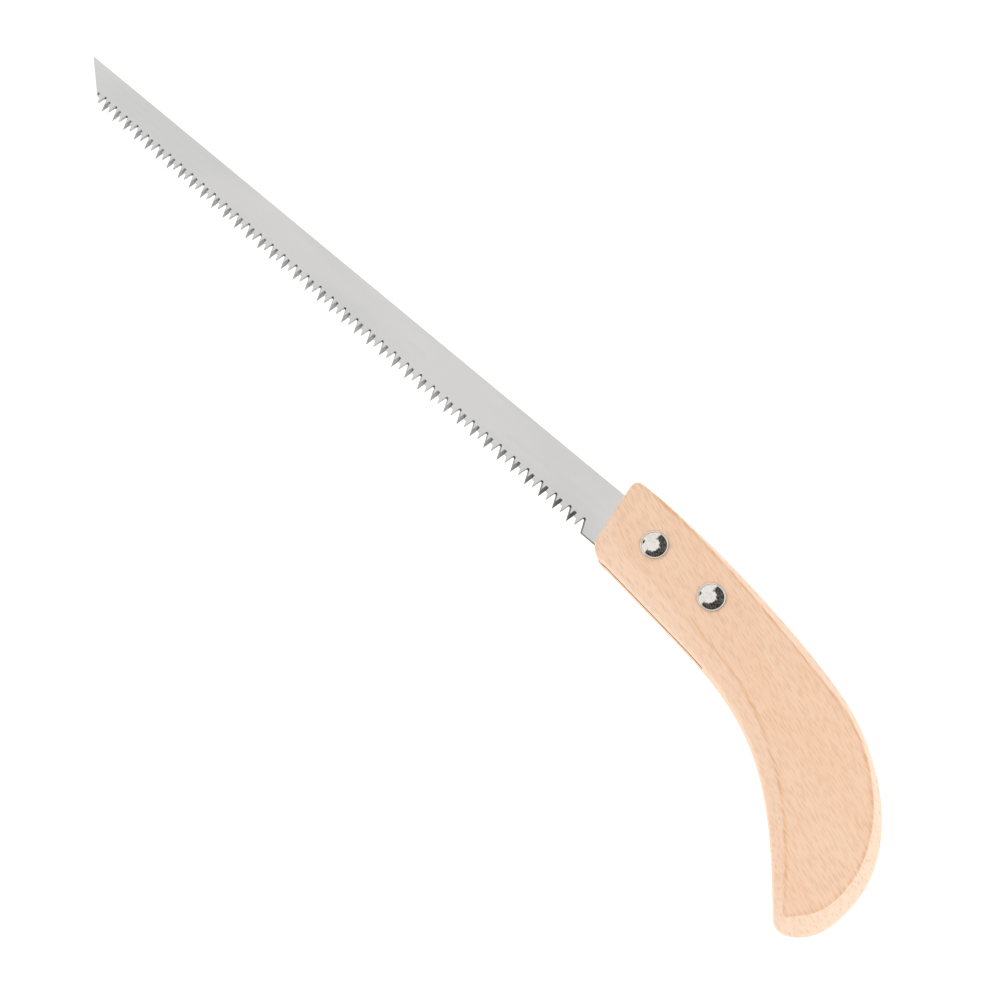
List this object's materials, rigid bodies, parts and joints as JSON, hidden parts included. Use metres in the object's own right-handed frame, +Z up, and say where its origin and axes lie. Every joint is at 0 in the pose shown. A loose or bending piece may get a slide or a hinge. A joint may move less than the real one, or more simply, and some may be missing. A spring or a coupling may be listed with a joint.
{
  "type": "drywall saw",
  "caption": "Hand saw for plasterboard: a stiff tapered steel blade with a slanted point and toothed edge, riveted into a slotted, chamfered, down-curved wooden handle.",
  "frame": {"origin": "below the middle of the bounding box, at the height of the lowest rivet head; the saw lies on its side", "axes": "+X from the blade's point towards the handle, along the blade's straight back; +Y from the teeth towards the back, in the plane of the blade; +Z up, square to the blade's flat side"},
  "size_m": [0.3256, 0.0612, 0.0212],
  "materials": {
    "handle": "smooth sanded beech, unvarnished, with short darker grain flecks",
    "blade": "bright steel strip, fine grain along the blade",
    "rivets": "polished nickel plating"
  },
  "bodies": {
    "root": {"handle": "handle", "blade": "blade", "front_rivet": "rivets", "front_rivet_cap": "rivets", "rear_rivet": "rivets", "rear_rivet_cap": "rivets"}
  },
  "joints": []
}
